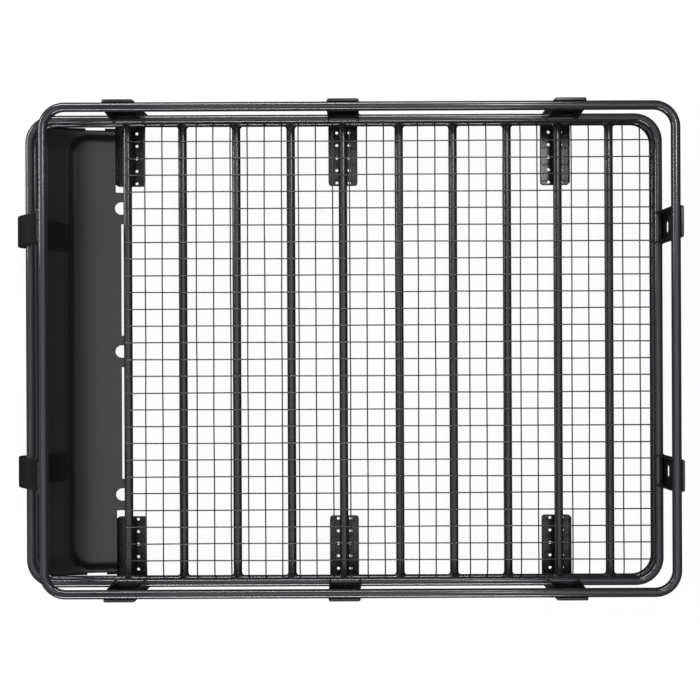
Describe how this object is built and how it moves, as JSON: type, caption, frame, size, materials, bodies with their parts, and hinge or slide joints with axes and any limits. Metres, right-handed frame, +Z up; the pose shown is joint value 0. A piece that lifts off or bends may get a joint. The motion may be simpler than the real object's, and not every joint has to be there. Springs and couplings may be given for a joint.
{
  "type": "roof rack basket",
  "caption": "Welded black steel roof basket: stacked tube rails joined by pressed uprights, round floor slats, welded wire mesh, a sheet wind deflector and perforated mounting channels",
  "frame": {"origin": "middle of the basket in plan, level with the undersides of the six mounting channels", "axes": "+X to the rear of the vehicle, +Y to one side, +Z up"},
  "size_m": [1.9305, 1.42, 0.2205],
  "materials": {
    "rail_coat": "gloss black powder coat on steel tube",
    "bar_coat": "gloss black powder coat on round slats",
    "wire_coat": "satin black powder coat on steel wire",
    "panel_coat": "smooth gloss black powder coat on sheet steel",
    "bracket_coat": "black powder coat on pressed steel"
  },
  "bodies": {
    "root": {"top_rail": "rail_coat", "mid_rail": "rail_coat", "floor_rail": "rail_coat", "front_bar": "bar_coat", "mesh_lengthwise_wires": "wire_coat", "mesh_crosswise_wires": "wire_coat", "wind_deflector": "panel_coat", "floor_slat_1": "bar_coat", "floor_slat_2": "bar_coat", "floor_slat_3": "bar_coat", "floor_slat_4": "bar_coat", "floor_slat_5": "bar_coat", "floor_slat_6": "bar_coat", "floor_slat_7": "bar_coat", "floor_slat_8": "bar_coat", "floor_slat_9": "bar_coat", "side_upright_left_1": "bracket_coat", "mount_channel_left_1": "bracket_coat", "mount_rib_left_1": "bracket_coat", "side_upright_left_2": "bracket_coat", "mount_channel_left_2": "bracket_coat", "mount_rib_left_2": "bracket_coat", "side_upright_left_3": "bracket_coat", "mount_channel_left_3": "bracket_coat", "mount_rib_left_3": "bracket_coat", "rear_upright_left": "bracket_coat", "front_upright_left": "bracket_coat", "side_upright_right_1": "bracket_coat", "mount_channel_right_1": "bracket_coat", "mount_rib_right_1": "bracket_coat", "side_upright_right_2": "bracket_coat", "mount_channel_right_2": "bracket_coat", "mount_rib_right_2": "bracket_coat", "side_upright_right_3": "bracket_coat", "mount_channel_right_3": "bracket_coat", "mount_rib_right_3": "bracket_coat", "rear_upright_right": "bracket_coat", "front_upright_right": "bracket_coat"}
  },
  "joints": []
}
